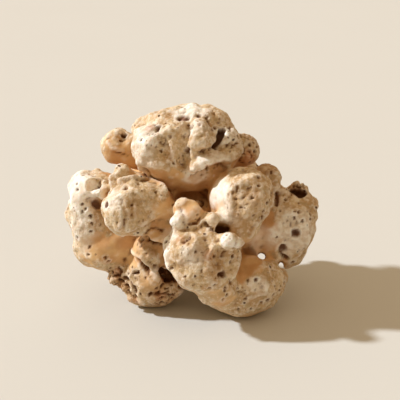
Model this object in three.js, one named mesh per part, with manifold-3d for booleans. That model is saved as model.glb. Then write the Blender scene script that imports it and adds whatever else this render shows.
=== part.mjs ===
// A tiger milk mushroom: the knobbly sclerotium of a wild fungus, about 100 mm across.
// It grew as one piece. Pear-shaped lobes spread from a common core, and smaller knobs stand on them.
// Millimetres, +Z up. The front is towards -Y, and the origin is under the middle, on the surface it rests on.
import * as THREE from "three";
import { mergeVertices } from "three/addons/utils/BufferGeometryUtils.js";
import { ImprovedNoise } from "three/addons/math/ImprovedNoise.js";
import Module from "manifold-3d";

// Driving dimensions.
const WIDTH = 100; // overall, left to right

// From here on, lengths and places are in hundredths of the width, and the floor is at z = 0.
const LUMP_SIZE = 8; // distance between the swells on a lobe
const LUMP_HEIGHT = 1; // how far a swell stands out
const FACET = 4.2; // length of a facet's edge
const EDGE_PER_RADIUS = 1.1; // edge of a sphere's facet before it is subdivided, as a share of the radius
const LEAST_DETAIL = 2; // subdivisions of the smallest knobs and hollows
const SAME_POINT = 1e-4; // vertices nearer than this are one
const CORE = { from: [0, 3, 20], at: [0, 3, 38], radii: [17, 16, 16] };

// Each lobe is an egg that grows from one point to another. radii are [across, deep, beyond the second point].
const LOBES = {
  crown: { at: [-1, 3, 65.8], radii: [20, 17, 15], taper: 0.35 },
  crownLeft: { from: [-2, 3, 52], at: [-12.5, -2, 64.5], radii: [9, 12, 12] },
  crownShoulder: { from: [-8, 6, 64], at: [-17.5, 8, 70], radii: [5.5, 6, 5.5] },
  crownRight: { from: [0, 3, 55], at: [10, 3, 68], radii: [9, 12, 8.3] },
  crownLeftEar: { from: [-6, 8, 54], at: [-29, 12, 61.8], radii: [7.5, 7, 7.5] },
  crownRightEar: { from: [4, 8, 56], at: [21.5, 10, 61], radii: [7.2, 6.5, 6] },
  crownRightKnob: { from: [10, 4, 62], at: [16, 1, 64.5], radii: [5.5, 5, 5] },
  crownBelly: { from: [-1, 3, 66], at: [-1.5, -1, 55], radii: [12, 11.5, 9.5] },
  crownBump: { from: [0, 0, 68], at: [2.5, -9, 72], radii: [5, 5.5, 5] },
  crownLipLeft: { from: [-3, -4, 57], at: [-2, -10, 58], radii: [4, 4, 4] },
  crownLipMiddle: { from: [3, -4, 60], at: [5, -11, 61], radii: [4.5, 3.5, 3.5] },
  crownLipRight: { from: [10, 0, 62], at: [13, -6, 62], radii: [4, 3.5, 4] },
  leftUpper: { from: [-12, 5, 40], at: [-40, 0, 46.5], radii: [8.5, 10, 9] },
  leftMiddle: { from: [-14, 4, 34], at: [-40.5, 0, 37], radii: [10, 10, 9.5] },
  leftLower: { from: [-8, 3, 32], at: [-36.3, 0, 25.7], radii: [13.5, 13, 12.5] },
  leftFront: { from: [-5, -9, 42], at: [-22, -17, 45], radii: [11, 11, 12] },
  leftFrontTip: { from: [-22, -14, 46], at: [-14, -14.5, 45], radii: [8.6, 9, 10] },
  leftFrontTop: { from: [-12, -8, 48], at: [-26, -10, 53], radii: [6, 7, 6] },
  rightFront: { from: [9, -4, 44], at: [21.5, -16, 50], radii: [11.5, 12, 11] },
  rightFrontLow: { from: [10, -8, 44], at: [20, -18, 41], radii: [9, 9, 8] },
  rightOuterNeck: { from: [4, 0, 34], at: [23, -4, 30.5], radii: [10, 9.5, 7.5] },
  rightOuter: { from: [12, 0, 41], at: [41, 0, 29], radii: [17, 13, 8.8], taper: 0.55 },
  rightOuterLow: { from: [36, 0, 30], at: [40.8, 0, 22.8], radii: [8, 9, 7.5] },
  rightOuterHorn: { from: [33, 1, 36], at: [30.8, 2, 50.3], radii: [5.5, 5.5, 6.5] },
  rightOuterKnob: { from: [38, 2, 36], at: [43.5, 4, 44], radii: [5, 5, 5] },
  frontCentre: { from: [2, -2, 34], at: [4.9, -25, 31.5], radii: [14.8, 10.5, 12] },
  frontCentreLow: { from: [3, -6, 28], at: [5.5, -26.5, 25.5], radii: [12.6, 9.5, 12.4] },
  frontFoot: { from: [6, -10, 19], at: [10, -27.5, 18], radii: [9.5, 8.5, 8.5] },
  frontArm: { from: [2, -18, 32], at: [-0.8, -21, 46], radii: [5.4, 5, 5] },
  frontArmKnob: { from: [0, -20, 36], at: [-2.6, -25.5, 43.3], radii: [3.8, 3, 3.5] },
  frontArmRoot: { from: [1, -14, 30], at: [-3, -21.5, 37], radii: [6.6, 6, 5.5] },
  frontStub: { from: [4, -22, 34], at: [8.5, -25, 43.5], radii: [4, 4.5, 4] },
  frontKnob: { from: [10, -26, 32], at: [14.8, -32.5, 38], radii: [4.2, 4, 4] },
  lowRight: { from: [4, -14, 9.4], at: [21.5, -14, 12.3], radii: [13, 14, 17.8] },
  lowRightNeck: { from: [2, 2, 30], at: [15.5, -8, 17], radii: [10, 9, 8] },
  base: { from: [-8, 2, 26], at: [-15.4, -6, 12.6], radii: [14, 13.5, 13.3] },
  baseLeft: { from: [-16, -4, 16], at: [-27.4, -6, 14.4], radii: [7, 7, 6.2] },
  baseFoot: { from: [-14, -6, 12], at: [-21, -9, 6], radii: [6, 6, 5] },
  baseKnob: { from: [-6, -8, 35], at: [-11.8, -16, 33.8], radii: [3.8, 3.6, 3.8] },
  baseUpper: { from: [-10, -6, 34], at: [-15.6, -13.5, 25.8], radii: [7.4, 6.6, 6.6] },
  backCrown: { at: [4, 21, 56], radii: [13, 12, 12] },
  backCrownKnob: { from: [6, 18, 58], at: [10, 31, 62], radii: [5, 5, 4.5] },
  backLeft: { at: [-22, 22, 38], radii: [13, 12, 13] },
  backLeftLow: { from: [-10, 10, 30], at: [-25, 24, 25], radii: [9, 9, 8] },
  backLeftKnob: { from: [-18, 18, 42], at: [-23, 31, 47], radii: [4.5, 5, 4.5] },
  backRight: { at: [20, 24, 32], radii: [13, 14, 12] },
  backRightTop: { from: [12, 14, 44], at: [24, 22, 45], radii: [7, 7, 7] },
  backRightKnob: { from: [22, 26, 28], at: [27, 35, 25], radii: [5, 5, 4.5] },
  backLow: { from: [0, 4, 28], at: [-2, 24, 14], radii: [16, 14, 14] },
  backLowKnob: { from: [-4, 28, 14], at: [-11, 35, 12], radii: [5, 5, 4.5] },
};

// Hollows are eggs of the same kind, cut away from the surface inwards.
const HOLLOWS = {
  crownUndercut: { from: [0.5, -24, 46], at: [0.5, -8, 45.5], radii: [7, 3.5, 6] },
  crownPit: { from: [11, -17, 73], at: [9.5, -10, 70], radii: [2.5, 4, 3] },
  leftEarHole: { from: [-26, 0, 70], at: [-26.5, 6, 67], radii: [1.8, 2, 2.5] },
  leftCleft: { from: [-38, -20, 46], at: [-35, -8, 44.5], radii: [2, 3, 3] },
  rightNotch: { from: [38.5, 0, 58], at: [38.2, 1, 49.5], radii: [2, 8, 2.5] },
  rightGapInner: { from: [27.3, -26, 29], at: [29.8, 8, 14.5], radii: [2.5, 2.1, 6] },
  rightGapOuter: { from: [35, -26, 26], at: [38, 8, 11.2], radii: [2.1, 2.5, 6] },
  rightCrater: { from: [44, -4, 48], at: [43, 0, 46], radii: [2.5, 3.5, 2.5] },
  backCrownPit: { from: [-2, 42, 62], at: [-1, 32, 58], radii: [2.2, 3, 3] },
  backLeftPit: { from: [-16, 44, 36], at: [-18, 34, 36], radii: [2.5, 2.5, 3] },
};

const wasm = await Module();
wasm.setup();
const noise = new ImprovedNoise();

/** A closed geometry as a manifold-3d solid. */
function solidOf(geometry) {
  geometry.deleteAttribute("normal");
  geometry.deleteAttribute("uv");
  const merged = mergeVertices(geometry, SAME_POINT);
  return new wasm.Manifold(
    new wasm.Mesh({
      numProp: 3,
      vertProperties: merged.attributes.position.array,
      triVerts: new Uint32Array(merged.index.array),
    }),
  );
}

/** A manifold-3d solid as a geometry. */
function geometryOf(solid) {
  const mesh = solid.getMesh();
  return new THREE.BufferGeometry()
    .setAttribute("position", new THREE.BufferAttribute(mesh.vertProperties, 3))
    .setIndex(new THREE.BufferAttribute(mesh.triVerts, 1));
}

/** How far the skin swells out at a point, from a smooth noise field. */
function swell(point) {
  const p = point.clone().divideScalar(LUMP_SIZE);
  return LUMP_HEIGHT * noise.noise(p.x, p.y, p.z);
}

/** An egg-shaped lobe: it starts at one point, and its widest place is round the other. */
function lobe({ from = CORE.at, at, radii: [across, deep, beyond], taper = 0 }) {
  const centre = new THREE.Vector3(...at);
  const outward = centre.clone().sub(new THREE.Vector3(...from));
  const inward = outward.length();
  const turn = new THREE.Quaternion().setFromUnitVectors(new THREE.Vector3(0, 0, 1), outward.normalize());
  const subdivisions = Math.round((EDGE_PER_RADIUS * (across + deep)) / 2 / FACET) - 1;
  const geometry = new THREE.IcosahedronGeometry(1, Math.max(LEAST_DETAIL, subdivisions));
  const position = geometry.attributes.position;
  const point = new THREE.Vector3();
  const away = new THREE.Vector3();
  for (let i = 0; i < position.count; i++) {
    point.fromBufferAttribute(position, i);
    away.copy(point).applyQuaternion(turn);
    const inner = Math.max(0, -point.z);
    const waist = 1 - taper * inner * inner;
    point.multiply(new THREE.Vector3(across * waist, deep * waist, inner > 0 ? inward : beyond));
    point.applyQuaternion(turn).add(centre);
    point.addScaledVector(away, swell(point));
    position.setXYZ(i, point.x, point.y, point.z);
  }
  return solidOf(geometry);
}

/** The whole body: lobes joined, hollows cut, flat where it rests, with its middle over the origin. */
function body() {
  let solid = lobe(CORE);
  for (const shape of Object.values(LOBES)) solid = solid.add(lobe(shape));
  for (const shape of Object.values(HOLLOWS)) solid = solid.subtract(lobe(shape));
  const floor = new THREE.BoxGeometry(2 * WIDTH, 2 * WIDTH, WIDTH).translate(0, 0, -WIDTH / 2);
  solid = solid.subtract(solidOf(floor));
  const { min, max } = solid.boundingBox();
  const geometry = geometryOf(solid);
  geometry.translate(-(min[0] + max[0]) / 2, -(min[1] + max[1]) / 2, 0);
  const scale = WIDTH / (max[0] - min[0]);
  return geometry.scale(scale, scale, scale);
}

const flesh = new THREE.MeshStandardMaterial({ color: 0xd9c3a0, roughness: 0.85, metalness: 0 });
const mushroom = new THREE.Mesh(body(), flesh);
mushroom.name = "mushroom";

const part = new THREE.Group();
part.add(mushroom);

export default part;
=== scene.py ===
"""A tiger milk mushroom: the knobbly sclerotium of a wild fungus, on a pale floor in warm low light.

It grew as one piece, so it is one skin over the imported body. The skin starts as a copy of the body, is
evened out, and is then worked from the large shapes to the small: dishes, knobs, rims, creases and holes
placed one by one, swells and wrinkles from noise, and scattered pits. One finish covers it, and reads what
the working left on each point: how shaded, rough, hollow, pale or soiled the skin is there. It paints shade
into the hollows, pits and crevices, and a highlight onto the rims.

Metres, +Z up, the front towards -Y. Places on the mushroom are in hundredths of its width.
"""

import logging
import math
from dataclasses import dataclass, replace
from enum import Enum
from typing import Any

import bmesh
import bpy
import numpy as np
from mathutils import Matrix, Vector, noise
from mathutils.bvhtree import BVHTree
from mathutils.kdtree import KDTree


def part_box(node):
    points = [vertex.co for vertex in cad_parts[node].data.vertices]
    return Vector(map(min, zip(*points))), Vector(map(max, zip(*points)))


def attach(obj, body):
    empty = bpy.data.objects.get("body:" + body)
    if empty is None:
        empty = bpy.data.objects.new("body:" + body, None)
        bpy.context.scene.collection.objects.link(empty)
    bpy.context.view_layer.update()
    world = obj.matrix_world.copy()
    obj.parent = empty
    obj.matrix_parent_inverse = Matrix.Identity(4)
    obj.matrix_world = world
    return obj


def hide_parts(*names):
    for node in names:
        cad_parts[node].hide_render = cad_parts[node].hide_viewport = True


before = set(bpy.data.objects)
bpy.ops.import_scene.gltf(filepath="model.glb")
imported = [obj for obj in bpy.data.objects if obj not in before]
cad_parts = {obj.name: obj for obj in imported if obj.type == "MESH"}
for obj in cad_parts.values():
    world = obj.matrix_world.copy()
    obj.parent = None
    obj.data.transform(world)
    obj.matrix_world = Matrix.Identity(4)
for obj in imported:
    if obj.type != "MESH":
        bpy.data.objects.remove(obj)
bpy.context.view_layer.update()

NODE = "mushroom"
BODY = "root"

# The marks' profiles: places and heights as shares of a mark's radius and height, and two powers.
KNOB_FULLNESS = 0.8
LIP_HEIGHT = 0.03
LIP_MIDDLE = 1.25
LIP_WIDTH = 0.25
WALL_TOP = 1.05
WALL_FOOT = 0.25
RIM_HEIGHT = 0.4
RIM_WIDTH = 0.2
RIDGE_WIDTH = 0.55
CREASE_SHARPNESS = 1.3

Place = tuple[float, float, float]
Colour = tuple[int, int, int]

log = logging.getLogger("mushroom")


def smooth_step(low: float, high: float, values: np.ndarray) -> np.ndarray:
    """Rises smoothly from 0 at low to 1 at high, or falls where low is the larger.

    Args:
        low: The value that gives 0.
        high: The value that gives 1.
        values: The values to map.

    Returns:
        One number from 0 to 1 for each value.
    """
    t = np.clip((values - low) / (high - low), 0.0, 1.0)
    return t * t * (3.0 - 2.0 * t)


def bell(middle: float, width: float, values: np.ndarray) -> np.ndarray:
    """A smooth bump, 1 at its middle.

    Args:
        middle: The value at the top of the bump.
        width: How far from there it has fallen to about a third.
        values: The values to map.

    Returns:
        One number from 0 to 1 for each value.
    """
    return np.exp(-(((values - middle) / width) ** 2))


class Shape(Enum):
    """What one mark does to the skin. Each has a profile over its radius, out from its middle line."""

    KNOB = "knob"
    HOLE = "hole"
    DISH = "dish"
    DENT = "dent"
    RIDGE = "ridge"
    CREASE = "crease"

    def profile(self, t: np.ndarray) -> np.ndarray:
        """How far the skin moves at a distance from the middle line.

        Args:
            t: Distances as shares of the mark's radius.

        Returns:
            Shares of the mark's height, positive outwards.
        """
        dome = np.clip(1.0 - t**2, 0.0, 1.0)
        if self is Shape.KNOB:
            return dome**KNOB_FULLNESS
        if self is Shape.HOLE:
            return LIP_HEIGHT * bell(LIP_MIDDLE, LIP_WIDTH, t) - smooth_step(WALL_TOP, WALL_FOOT, t)
        if self is Shape.DISH:
            return RIM_HEIGHT * bell(1.0, RIM_WIDTH, t) - dome
        if self is Shape.DENT:
            return -(dome**2)
        if self is Shape.RIDGE:
            return bell(0.0, RIDGE_WIDTH, t)
        return -np.clip(1.0 - t, 0.0, 1.0) ** CREASE_SHARPNESS


@dataclass(frozen=True)
class Mark:
    """One feature of the skin, along a path of places on it."""

    shape: Shape
    radius: float
    height: float
    path: tuple[Place, ...]


def knob(radius: float, height: float, *path: Place) -> Mark:
    """A rounded knob, or a short sausage where the path has two places."""
    return Mark(Shape.KNOB, radius, height, path)


def hole(radius: float, depth: float, *path: Place) -> Mark:
    """A pit with steep walls and a slightly raised lip, or a slot along a path."""
    return Mark(Shape.HOLE, radius, depth, path)


def dish(radius: float, depth: float, *path: Place) -> Mark:
    """A shallow hollow inside a raised rim."""
    return Mark(Shape.DISH, radius, depth, path)


def dent(radius: float, depth: float, *path: Place) -> Mark:
    """A broad, smooth hollow with no rim."""
    return Mark(Shape.DENT, radius, depth, path)


def ridge(radius: float, height: float, *path: Place) -> Mark:
    """A raised, rounded rim along a path."""
    return Mark(Shape.RIDGE, radius, height, path)


def crease(radius: float, depth: float, *path: Place) -> Mark:
    """A groove along a path, sharp at its bottom."""
    return Mark(Shape.CREASE, radius, depth, path)


CROWN_MARKS = (
    knob(4.9, 2.9, (3.2, -10.8, 75.0), (3.4, -12.8, 71.4)),
    knob(3.4, 1.5, (-0.4, -13.0, 70.6), (6.0, -13.0, 70.0)),
    crease(3.0, 2.6, (-1.0, -7.6, 76.6), (-1.8, -12.2, 73.0)),
    dent(2.8, 1.6, (-10.8, -11.6, 70.0), (-9.6, -13.0, 65.6)),
    crease(1.3, 0.9, (7.6, -7.6, 74.6), (5.8, -6.0, 77.0)),
    dent(4.6, 3.2, (-3.0, -12.0, 72.0), (-3.6, -13.6, 66.0), (-3.2, -13.8, 62.0)),
    dent(4.0, 0.8, (2.6, -14.0, 65.2)),
    dent(2.6, 1.2, (11.2, -6.5, 72.2), (9.6, -8.4, 68.6)),
    ridge(
        3.4,
        1.9,
        (-8.4, -9.8, 73.4),
        (-13.8, -10.8, 71.0),
        (-16.4, -12.0, 68.4),
        (-17.4, -12.4, 65.0),
        (-19.4, -9.8, 60.6),
    ),
    hole(1.1, 1.8, (-12.4, -6.8, 74.2), (-13.0, -8.2, 72.9)),
    knob(2.4, 1.0, (-15.8, -6.6, 73.2)),
    hole(1.9, 1.3, (-4.2, -5.2, 77.6), (-2.0, -5.6, 77.4)),
    crease(0.9, 1.3, (-5.6, -4.8, 77.6), (-4.2, -6.8, 76.6)),
    hole(1.7, 3.2, (-0.6, -8.6, 76.4), (-1.2, -11.6, 74.0)),
    hole(1.2, 1.2, (-2.0, -12.6, 66.6), (-2.0, -12.4, 64.8)),
    hole(1.45, 3.2, (11.4, -6.0, 72.2), (10.4, -7.4, 69.6), (8.8, -8.8, 66.8)),
    hole(0.9, 1.4, (9.6, -7.0, 74.0)),
    hole(0.8, 1.2, (8.4, -8.2, 73.4)),
    hole(1.2, 0.9, (2.6, -4.6, 78.0)),
    hole(0.8, 1.2, (-10.9, -13.2, 67.0)),
    hole(0.8, 1.2, (-6.8, -13.4, 61.8)),
    hole(0.8, 1.0, (-18.6, -9.4, 69.4)),
    knob(5.0, 2.2, (15.6, -4.5, 70.5), (15.8, -5.6, 66.0)),
    dent(3.4, 2.0, (5.6, -13.2, 66.2), (10.0, -10.6, 65.8), (14.4, -7.4, 65.4)),
    knob(
        2.8,
        3.0,
        (1.4, -14.0, 60.2),
        (4.4, -14.0, 62.8),
        (8.0, -13.0, 63.6),
        (12.0, -11.0, 63.6),
        (15.6, -9.4, 64.2),
        (17.2, -6.4, 64.4),
    ),
    ridge(1.4, 1.0, (-1.4, -13.4, 57.0), (0.6, -13.4, 59.4)),
    dent(3.6, 2.2, (1.6, -12.6, 56.8), (5.6, -11.8, 58.4), (11.5, -10.2, 59.2)),
    knob(4.8, 1.8, (-12.0, -12.4, 60.5), (-9.4, -10.0, 53.4)),
    ridge(1.1, 1.5, (-19.2, -10.1, 60.4), (-15.9, -9.9, 57.2), (-12.6, -7.4, 52.8), (-10.0, -8.0, 50.6)),
    crease(1.6, 1.6, (-19.6, -8.0, 59.0), (-16.6, -7.4, 55.6), (-13.2, -5.6, 51.8)),
    knob(2.6, 1.0, (-7.4, -13.6, 60.0), (-7.2, -13.6, 56.8)),
    dent(3.4, 1.3, (-3.2, -13.6, 63.0), (-3.2, -14.0, 58.0)),
    knob(1.8, 0.6, (-7.0, -12.9, 61.6)),
    knob(1.2, 0.7, (-8.8, -13.0, 62.4)),
    knob(4.2, 1.0, (-0.3, 0.0, 79.5)),
    knob(3.6, 0.9, (-6.0, -1.5, 78.6)),
    knob(3.8, 1.1, (-11.5, -1.5, 77.3)),
    knob(3.4, 2.0, (-17.0, 4.0, 75.5)),
    knob(3.0, 1.0, (6.0, -3.5, 77.8)),
    knob(5.0, 2.0, (8.0, 2.0, 78.0), (13.5, 2.0, 75.0)),
    knob(2.4, 1.4, (21.1, 3.1, 58.8)),
    hole(1.6, 1.4, (21.4, 8.6, 67.0)),
    hole(1.0, 1.2, (22.5, 4.8, 63.4)),
    hole(1.0, 1.6, (24.6, 5.0, 60.6)),
    crease(1.8, 1.6, (19.0, 2.4, 66.5), (19.6, 2.0, 61.5)),
)

LEFT_EAR_MARKS = (
    hole(1.4, 2.4, (-26.9, 7.0, 67.0)),
    ridge(1.8, 0.8, (-33.2, 6.9, 64.0), (-31.0, 5.1, 61.8), (-27.6, 4.4, 61.2)),
    crease(1.4, 0.5, (-30.6, 4.8, 60.4), (-28.6, 4.4, 60.2), (-25.8, 4.0, 59.0)),
    knob(2.2, 0.8, (-29.4, 9.0, 68.1)),
    knob(2.0, 0.9, (-33.0, 9.0, 66.6)),
)

LEFT_MARKS = (
    dish(3.0, 2.2, (-38.2, -7.4, 51.0), (-35.8, -7.0, 50.6)),
    knob(1.9, 1.3, (-36.9, -8.9, 48.2)),
    hole(2.8, 2.8, (-39.4, -10.0, 44.6), (-36.4, -7.5, 43.2)),
    ridge(2.4, 1.8, (-33.8, -5.5, 51.0), (-35.2, -8.9, 47.6), (-34.4, -9.8, 45.0), (-33.4, -12.0, 43.0)),
    dish(2.6, 1.7, (-29.7, -14.1, 55.4), (-30.2, -15.2, 52.6)),
    dish(2.8, 1.3, (-26.3, -13.3, 57.4), (-21.9, -11.5, 56.6)),
    knob(3.4, 2.6, (-26.6, -8.0, 58.6)),
    hole(1.3, 2.6, (-31.3, -23.4, 48.7)),
    hole(1.7, 1.2, (-24.7, -20.3, 54.6)),
    dish(8.0, 1.2, (-21.6, -27.1, 47.0)),
    ridge(
        1.9,
        1.7,
        (-26.6, -15.8, 55.2),
        (-22.1, -14.6, 55.6),
        (-17.0, -11.6, 53.8),
        (-13.0, -14.0, 52.8),
        (-10.2, -17.6, 51.8),
    ),
    ridge(1.2, 0.45, (-26.8, -25.4, 50.4), (-25.6, -27.0, 46.4), (-26.0, -27.0, 42.0)),
    ridge(1.3, 0.5, (-24.2, -25.6, 50.8), (-23.0, -27.4, 46.6), (-24.0, -27.4, 41.4)),
    ridge(1.2, 0.45, (-20.4, -26.0, 50.4), (-20.6, -27.4, 44.8)),
    dent(6.0, 4.2, (-20.0, -23.8, 36.6), (-15.5, -23.4, 37.2), (-10.5, -22.0, 38.6)),
    ridge(1.5, 0.9, (-31.6, -23.0, 43.4), (-28.8, -24.6, 38.8), (-25.4, -24.8, 37.0)),
    knob(3.0, 0.9, (-41.0, -8.8, 41.4)),
    hole(0.9, 1.2, (-41.2, -9.3, 42.0)),
    hole(0.8, 1.0, (-42.4, -8.8, 40.9)),
    hole(0.8, 1.2, (-42.2, -9.5, 43.8)),
    hole(1.1, 1.4, (-39.2, -9.6, 38.9)),
    hole(0.8, 1.0, (-38.9, -9.9, 36.1)),
    hole(0.9, 1.0, (-38.2, -2.4, 53.9)),
    hole(0.8, 0.9, (-42.6, -3.1, 53.6)),
    hole(0.8, 0.9, (-44.5, -6.3, 51.0)),
    hole(0.8, 0.9, (-44.0, -7.4, 49.0)),
    hole(0.8, 0.9, (-47.4, -5.4, 44.4)),
    hole(1.0, 1.3, (-33.8, -12.2, 22.6)),
    hole(0.9, 1.2, (-33.0, -11.8, 20.9)),
    hole(0.8, 0.9, (-40.6, -11.2, 23.4)),
    hole(0.8, 0.9, (-40.4, -11.6, 26.6)),
    hole(0.8, 0.9, (-44.4, -9.0, 30.0)),
    hole(0.8, 0.8, (-39.4, -11.6, 33.0)),
    knob(5.0, 0.9, (-42.0, -5.0, 49.0)),
    dent(5.0, 0.5, (-37.6, -11.0, 30.6)),
)

BASE_MARKS = (
    hole(1.2, 1.8, (-18.6, -15.4, 30.5)),
    hole(0.8, 1.3, (-19.8, -15.6, 30.6)),
    hole(0.8, 1.2, (-18.9, -16.4, 28.9)),
    hole(0.8, 1.0, (-16.6, -16.6, 31.6)),
    hole(1.2, 0.6, (-17.6, -20.2, 27.4)),
    dent(3.2, 1.0, (-13.6, -18.8, 29.6)),
    ridge(1.5, 1.2, (-23.2, -12.6, 25.8), (-19.8, -19.6, 25.6), (-17.0, -19.0, 22.4), (-15.2, -19.0, 20.6)),
    crease(2.0, 1.9, (-21.4, -15.6, 23.4), (-18.6, -17.0, 21.4), (-16.6, -16.4, 19.6)),
    ridge(2.6, 1.2, (-20.4, -16.4, 21.6), (-17.8, -18.6, 18.0), (-14.6, -19.6, 15.0)),
    knob(1.9, 1.8, (-14.4, -18.6, 20.2), (-13.6, -19.2, 17.2)),
    dent(3.6, 3.4, (-11.4, -16.6, 18.0), (-7.6, -15.6, 15.6)),
    hole(1.2, 2.0, (-11.8, -15.0, 18.6), (-9.4, -15.0, 18.2), (-7.4, -14.6, 16.0)),
    hole(0.9, 1.4, (-11.4, -15.6, 15.6), (-8.8, -15.2, 14.4)),
    knob(1.0, 1.4, (-11.0, -15.6, 16.9)),
    crease(
        1.1,
        1.5,
        (-29.0, -11.6, 18.0),
        (-27.8, -12.0, 16.6),
        (-28.8, -12.0, 15.0),
        (-30.2, -11.4, 14.4),
    ),
    hole(1.0, 1.4, (-24.6, -14.6, 16.6)),
    hole(1.0, 1.8, (-22.6, -16.2, 18.0), (-20.8, -15.6, 17.7)),
    dish(2.2, 0.6, (-22.4, -17.2, 15.4)),
    crease(
        1.3,
        1.7,
        (-25.6, -14.0, 14.2),
        (-23.8, -16.2, 13.4),
        (-23.0, -17.4, 11.8),
        (-22.2, -17.6, 10.0),
    ),
    crease(1.0, 1.4, (-28.8, -12.6, 12.8), (-26.6, -13.8, 12.4), (-24.6, -15.6, 11.0)),
    hole(0.8, 1.0, (-31.0, -11.0, 15.6)),
    hole(0.7, 0.8, (-17.9, -19.6, 17.2)),
    knob(2.2, 1.2, (-27.0, -14.2, 11.0)),
    knob(2.0, 1.2, (-31.0, -11.4, 12.6)),
    knob(2.6, 1.2, (-24.0, -14.0, 5.6)),
    knob(2.0, 1.0, (-19.6, -16.6, 5.8)),
    knob(2.6, 1.2, (-15.6, -18.6, 7.4)),
    hole(0.9, 1.1, (-16.4, -19.4, 9.8)),
    crease(1.3, 1.4, (-15.8, -19.6, 10.4), (-13.2, -18.6, 9.8), (-10.2, -17.8, 9.8), (-7.6, -16.8, 8.2)),
    knob(3.4, 2.0, (-5.4, -13.6, 8.4)),
    crease(1.2, 1.4, (-5.4, -14.4, 11.0), (-3.6, -13.0, 10.4)),
    knob(3.0, 2.4, (-13.8, -18.6, 35.0), (-11.4, -19.2, 34.6)),
    crease(1.7, 2.4, (-15.2, -17.4, 33.0), (-11.6, -17.6, 31.6)),
    crease(1.4, 0.7, (-17.6, -17.8, 36.2), (-15.0, -19.2, 37.8), (-11.0, -20.0, 37.8)),
)

FRONT_MARKS = (
    knob(2.8, 1.8, (-5.4, -26.8, 44.0)),
    knob(3.6, 1.8, (-3.6, -21.4, 48.4)),
    knob(3.2, 2.4, (0.4, -24.4, 45.6), (3.8, -23.8, 43.4)),
    knob(1.8, 2.6, (2.6, -6.5, 42.4)),
    crease(1.5, 0.5, (-4.2, -24.6, 47.6), (-2.7, -26.8, 45.6), (-2.4, -28.0, 43.6)),
    ridge(1.7, 1.0, (-4.4, -27.4, 41.2), (-0.5, -27.6, 41.2), (2.4, -26.4, 41.6), (4.4, -26.0, 43.6)),
    hole(2.5, 6.5, (10.4, -26.5, 40.8), (12.2, -25.4, 39.6)),
    crease(1.2, 0.9, (4.6, -27.8, 42.8), (8.4, -28.8, 40.8)),
    knob(2.2, 0.9, (8.0, -27.6, 45.0)),
    knob(3.2, 1.1, (13.2, -35.0, 39.4)),
    knob(2.2, 1.4, (17.2, -34.0, 37.8)),
    hole(0.9, 1.3, (11.9, -34.6, 39.9)),
    hole(0.8, 0.9, (12.9, -34.4, 41.0)),
    dish(3.2, 1.6, (-1.2, -32.7, 38.4)),
    dish(3.2, 1.5, (5.0, -33.9, 37.8), (4.4, -34.8, 35.8)),
    dish(4.6, 1.3, (10.4, -34.6, 32.0)),
    dish(3.0, 0.8, (-4.4, -31.6, 37.2)),
    ridge(
        2.5,
        1.7,
        (-7.4, -23.5, 40.0),
        (-9.4, -24.0, 37.4),
        (-9.8, -26.0, 34.2),
        (-8.5, -30.0, 31.6),
        (-7.6, -31.0, 27.8),
    ),
    ridge(2.3, 1.2, (-7.6, -31.0, 27.8), (-4.6, -34.2, 25.0), (-1.6, -36.0, 22.2), (2.0, -36.4, 19.8)),
    ridge(
        2.6,
        2.0,
        (17.4, -32.4, 37.0),
        (17.4, -30.4, 34.0),
        (16.8, -29.4, 30.6),
        (16.6, -29.6, 27.4),
        (15.2, -31.4, 24.0),
    ),
    hole(1.3, 1.8, (10.8, -36.0, 26.0), (12.0, -35.7, 25.7)),
    hole(0.8, 1.2, (9.1, -34.9, 32.6)),
    hole(0.8, 1.0, (1.7, -36.0, 35.1)),
    hole(0.8, 1.0, (15.4, -31.6, 31.2)),
    hole(0.8, 1.0, (14.7, -32.1, 29.0)),
    hole(0.8, 1.0, (-8.8, -25.8, 34.4)),
    hole(0.8, 1.0, (-7.6, -29.8, 33.0)),
    hole(0.8, 0.9, (8.7, -36.9, 21.9)),
    hole(0.8, 0.9, (6.8, -36.8, 20.6)),
    hole(1.0, 1.0, (13.0, -34.2, 19.4)),
    hole(0.8, 1.0, (13.6, -33.2, 16.0)),
    hole(0.9, 1.2, (2.4, -36.0, 19.6)),
)

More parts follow.
